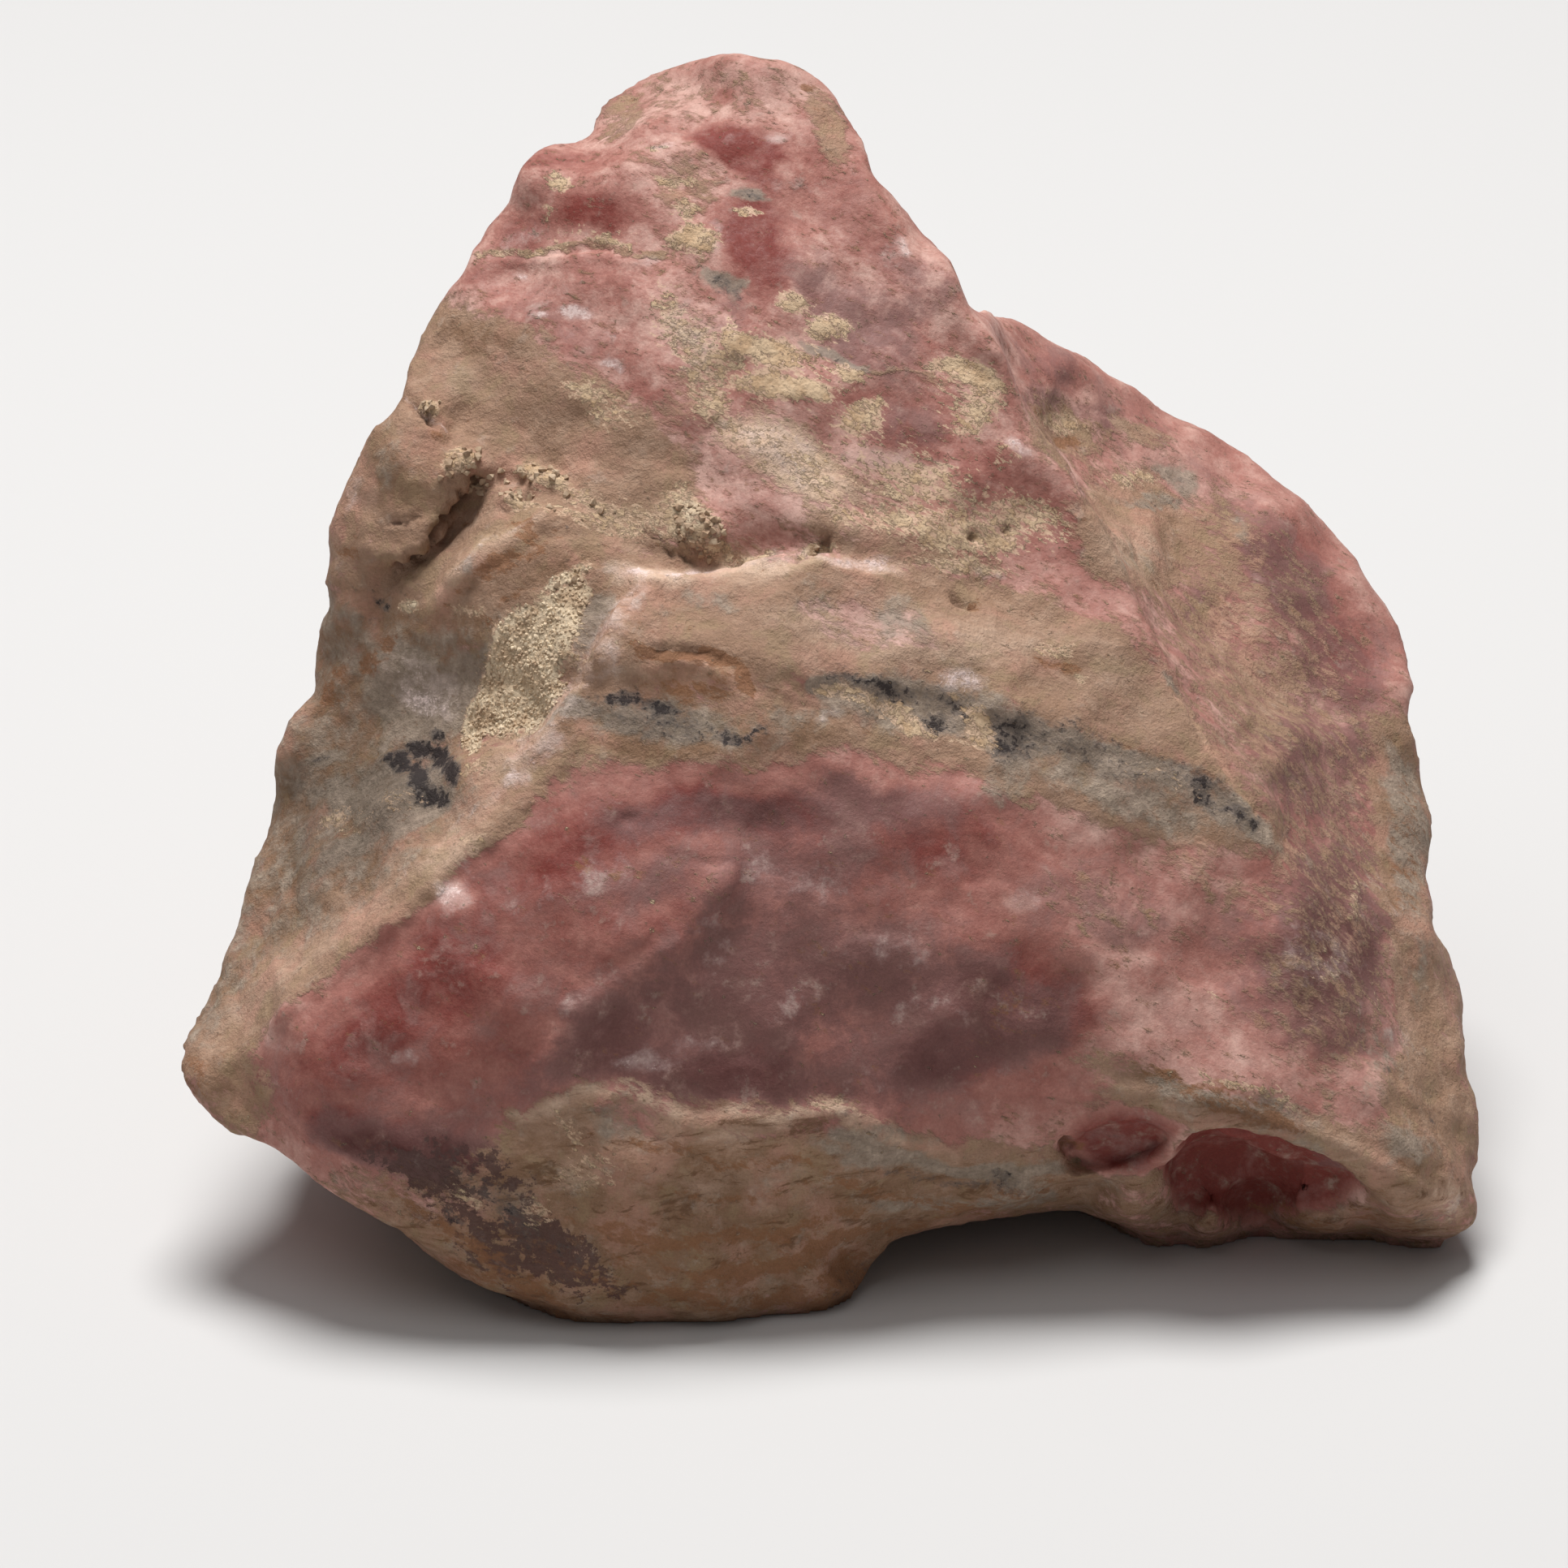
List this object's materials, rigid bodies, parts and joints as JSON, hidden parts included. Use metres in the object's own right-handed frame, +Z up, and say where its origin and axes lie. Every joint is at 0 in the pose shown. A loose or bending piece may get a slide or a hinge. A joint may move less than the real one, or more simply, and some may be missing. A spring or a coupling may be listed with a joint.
{
  "type": "rhodochrosite hand specimen",
  "caption": "Rough broken hand specimen of banded pink rhodochrosite with pale crust and a dark vein, resting on its flattest fracture.",
  "frame": {"origin": "middle of the stone's footprint extents, at the height of the surface it rests on", "axes": "+Z up from the resting face to the peak; -Y towards the broad rose-red front face; +X to the right as seen from the front"},
  "size_m": [0.0642, 0.0514, 0.0522],
  "materials": {
    "rhodochrosite": "rough fracture, waxy to vitreous on the pink mineral and earthy on the ochre crust"
  },
  "bodies": {
    "root": {"rhodochrosite_stone": "rhodochrosite"}
  },
  "joints": []
}
